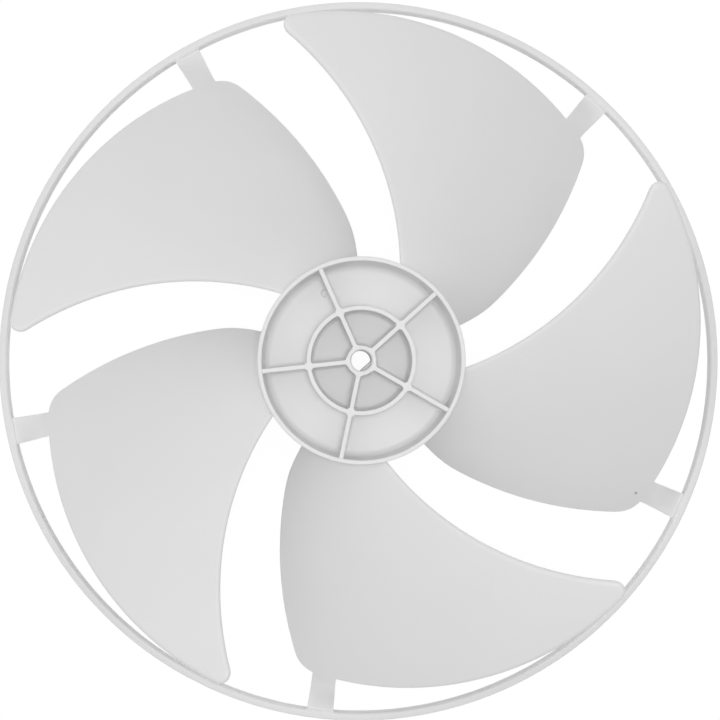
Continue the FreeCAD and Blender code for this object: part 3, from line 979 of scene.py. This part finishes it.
@dataclass
class Studio:
    """Pale floor, soft lamps and the camera over the shaft.

    Each lamp is given by its bearing and rise in degrees, its width in metres and its
    power in watts.
    """

    eye: tuple[float, float, float] = (-0.016, -0.004, 0.900)
    aim: tuple[float, float, float] = (0.0, 0.00055, 0.0072)
    lens: float = 72.17
    lamp_distance: float = 2.2
    lamps: tuple[tuple[float, float, float, float], ...] = (
        (0.0, 89.0, 0.55, 12.4),
        (0.0, 60.0, 1.3, 3.0),
        (60.0, 60.0, 1.3, 1.8),
        (120.0, 60.0, 1.3, 1.6),
        (180.0, 60.0, 1.3, 3.4),
        (240.0, 60.0, 1.3, 1.4),
        (120.0, 30.0, 1.3, 1.4),
        (180.0, 30.0, 1.3, 1.2),
    )
    surround: float = 0.36
    floor_half: float = 4.0
    floor_tone: str = "F4F4F4"
    floor_glow: float = 1.03
    floor_seen: float = 0.93

    def floor(self) -> None:
        """A pale floor that the camera sees as white, with the object's faint shadow.

        Camera, glossy and transmission rays see mostly its own white, and all other
        rays its matte tone. From below it is see-through.
        """
        mesh = bpy.data.meshes.new("floor")
        half = self.floor_half
        mesh.from_pydata([(-half, -half, 0.0), (half, -half, 0.0), (half, half, 0.0),
                          (-half, half, 0.0)], [], [(0, 1, 2, 3)])
        item = bpy.data.objects.new("floor", mesh)
        bpy.context.scene.collection.objects.link(item)
        made = bpy.data.materials.new("pale_floor")
        made.use_nodes = True
        tree = made.node_tree
        tree.nodes.clear()
        matte = add_node(tree, "ShaderNodeBsdfDiffuse", {"Color": linear(self.floor_tone)}, {})
        white = add_node(tree, "ShaderNodeEmission", {"Strength": self.floor_glow}, {})
        path = add_node(tree, "ShaderNodeLightPath", {}, {})
        direct = add_node(tree, "ShaderNodeMath", {"operation": "MAXIMUM"}, {})
        tree.links.new(path.outputs["Is Camera Ray"], direct.inputs[0])
        tree.links.new(path.outputs["Is Glossy Ray"], direct.inputs[1])
        seen = add_node(tree, "ShaderNodeMath", {"operation": "MAXIMUM"}, {})
        tree.links.new(direct.outputs[0], seen.inputs[0])
        tree.links.new(path.outputs["Is Transmission Ray"], seen.inputs[1])
        share = add_node(tree, "ShaderNodeMath", {"operation": "MULTIPLY"}, {})
        tree.links.new(seen.outputs[0], share.inputs[0])
        share.inputs[1].default_value = self.floor_seen
        blend = add_node(tree, "ShaderNodeMixShader", {}, {})
        tree.links.new(share.outputs[0], blend.inputs[0])
        tree.links.new(matte.outputs[0], blend.inputs[1])
        tree.links.new(white.outputs[0], blend.inputs[2])
        side = add_node(tree, "ShaderNodeNewGeometry", {}, {})
        clear = add_node(tree, "ShaderNodeBsdfTransparent", {}, {})
        whole = add_node(tree, "ShaderNodeMixShader", {}, {"Fac": side.outputs["Backfacing"]})
        tree.links.new(blend.outputs[0], whole.inputs[1])
        tree.links.new(clear.outputs[0], whole.inputs[2])
        out = add_node(tree, "ShaderNodeOutputMaterial", {}, {})
        tree.links.new(whole.outputs[0], out.inputs["Surface"])
        mesh.materials.append(made)

    def lamp(self, name: str, bearing: float, rise: float, size: float, power: float) -> None:
        """A square soft lamp aimed at the object.

        Args:
            name: the lamp's name.
            bearing: its direction from the object, in degrees.
            rise: how high it stands over the floor, in degrees.
            size: the length of its side in metres.
            power: its power in watts.
        """
        data = bpy.data.lights.new(name, "AREA")
        data.shape = "SQUARE"
        data.size = size
        data.energy = power
        item = bpy.data.objects.new(name, data)
        turn, tilt = math.radians(bearing), math.radians(rise)
        level = self.lamp_distance * math.cos(tilt)
        spot = Vector((level * math.cos(turn), level * math.sin(turn),
                       self.lamp_distance * math.sin(tilt)))
        item.location = spot
        item.rotation_euler = (-spot).to_track_quat("-Z", "Y").to_euler()
        bpy.context.scene.collection.objects.link(item)

    def world(self) -> None:
        """A plain white surround: full white where it is seen, softer as a light."""
        made = bpy.data.worlds.new("surround")
        made.use_nodes = True
        tree = made.node_tree
        tree.nodes.clear()
        path = add_node(tree, "ShaderNodeLightPath", {}, {})
        white = linear("FFFFFF")
        light = add_node(tree, "ShaderNodeBackground",
                         {"Color": white, "Strength": self.surround}, {})
        seen = add_node(tree, "ShaderNodeBackground", {"Color": white, "Strength": 1.0}, {})
        through = add_node(tree, "ShaderNodeMath", {"operation": "MAXIMUM"}, {})
        tree.links.new(path.outputs["Is Camera Ray"], through.inputs[0])
        tree.links.new(path.outputs["Is Transmission Ray"], through.inputs[1])
        blend = add_node(tree, "ShaderNodeMixShader", {}, {})
        tree.links.new(through.outputs[0], blend.inputs[0])
        tree.links.new(light.outputs[0], blend.inputs[1])
        tree.links.new(seen.outputs[0], blend.inputs[2])
        out = add_node(tree, "ShaderNodeOutputWorld", {}, {})
        tree.links.new(blend.outputs[0], out.inputs["Surface"])
        bpy.context.scene.world = made

    def camera(self) -> None:
        """The camera, straight over the shaft and looking down."""
        data = bpy.data.cameras.new("camera")
        data.sensor_width = 36.0
        data.lens = self.lens
        data.clip_start, data.clip_end = 0.05, 20.0
        item = bpy.data.objects.new("camera", data)
        item.location = self.eye
        ahead = (Vector(self.aim) - Vector(self.eye)).normalized()
        right = ahead.cross(Vector((0.0, 1.0, 0.0))).normalized()
        upward = right.cross(ahead)
        item.rotation_euler = Matrix((right, upward, -ahead)).transposed().to_euler()
        bpy.context.scene.collection.objects.link(item)
        bpy.context.scene.camera = item

    def build(self) -> None:
        """Sets up the floor, the lamps, the surround and the camera."""
        bpy.context.scene.view_settings.view_transform = "Standard"
        self.floor()
        self.world()
        for bearing, rise, size, power in self.lamps:
            self.lamp("lamp_%d_%d" % (rise, bearing), bearing, rise, size, power)
        self.camera()


def main() -> None:
    """Builds the studio and the impeller."""
    logging.basicConfig(level=logging.INFO, format="%(name)s: %(message)s")
    Studio().build()
    LOG.info("studio ready")
    piece = Impeller().build()
    LOG.info("%s has %d faces", piece.name, len(piece.data.polygons))


if __name__ == "__main__":
    main()
